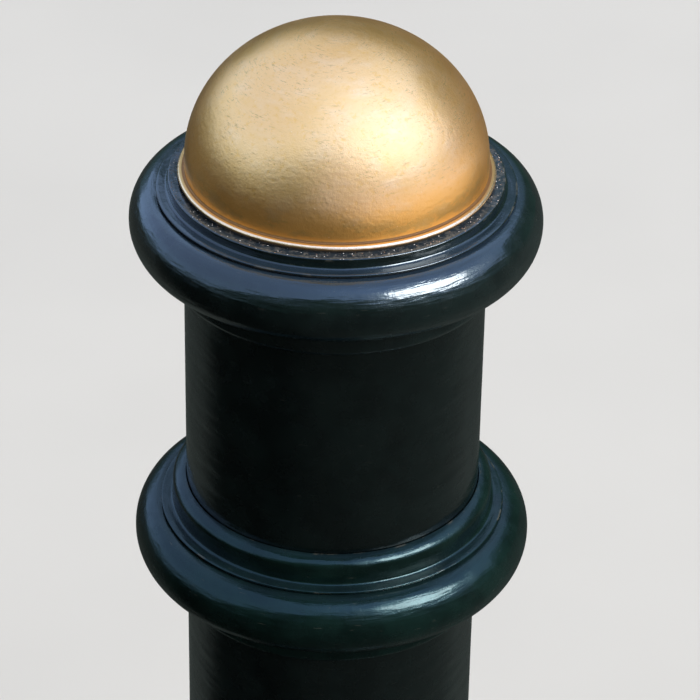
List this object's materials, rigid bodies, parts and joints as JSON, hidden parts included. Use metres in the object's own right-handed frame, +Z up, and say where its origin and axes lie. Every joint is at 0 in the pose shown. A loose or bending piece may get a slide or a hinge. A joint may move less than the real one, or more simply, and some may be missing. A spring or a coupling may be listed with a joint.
{
  "type": "safety bollard",
  "caption": "Round steel safety bollard with two ring collars and a lift-off gold dome head, on a bolt-down flange hidden by a moulded base cover.",
  "frame": {"origin": "centre of the post at the underside of the base plate, on the ground", "axes": "+Z up along the post; -Y is the front, and the collar screws are on the +Y side"},
  "size_m": [0.3, 0.3, 0.9],
  "materials": {
    "dome_gold": "satin gold metal finish with fine turning marks and wear",
    "body_paint": "thick gloss paint, near-black dark green",
    "tube_paint": "thick gloss paint, near-black dark green",
    "cover_paint": "thick gloss paint over a casting, dusty at the foot",
    "flange_zinc": "hot-dip galvanised, dull grey",
    "screw_steel": "dark zinc",
    "fixing_steel": "bright zinc",
    "spigot_steel": "galvanised, dull grey",
    "seal_rubber": "matt black rubber",
    "concrete": "cast concrete"
  },
  "bodies": {
    "post": {"base_plate": "flange_zinc", "base_gussets": "flange_zinc", "post_tube": "tube_paint", "concrete_core": "concrete", "lower_collar": "body_paint", "lower_collar_screws": "screw_steel", "upper_collar": "body_paint", "upper_collar_screws": "screw_steel"},
    "cover": {"base_cover": "cover_paint", "base_cover_screws": "screw_steel"},
    "head": {"head_gasket": "seal_rubber", "head_plate": "body_paint", "head_spigot": "spigot_steel", "dome": "dome_gold", "dome_seal": "seal_rubber", "dome_boss": "fixing_steel", "dome_stud": "fixing_steel", "dome_washer": "fixing_steel", "dome_spring_washer": "fixing_steel", "dome_nut": "fixing_steel"}
  },
  "joints": [
    {"name": "head_lift", "type": "slide", "parent": "post", "child": "head", "axis": [0, 0, 1], "range_m": [0, 0.15]},
    {"name": "cover_lift", "type": "slide", "parent": "post", "child": "cover", "axis": [0, 0, 1], "range_m": [0, 0.4]}
  ]
}
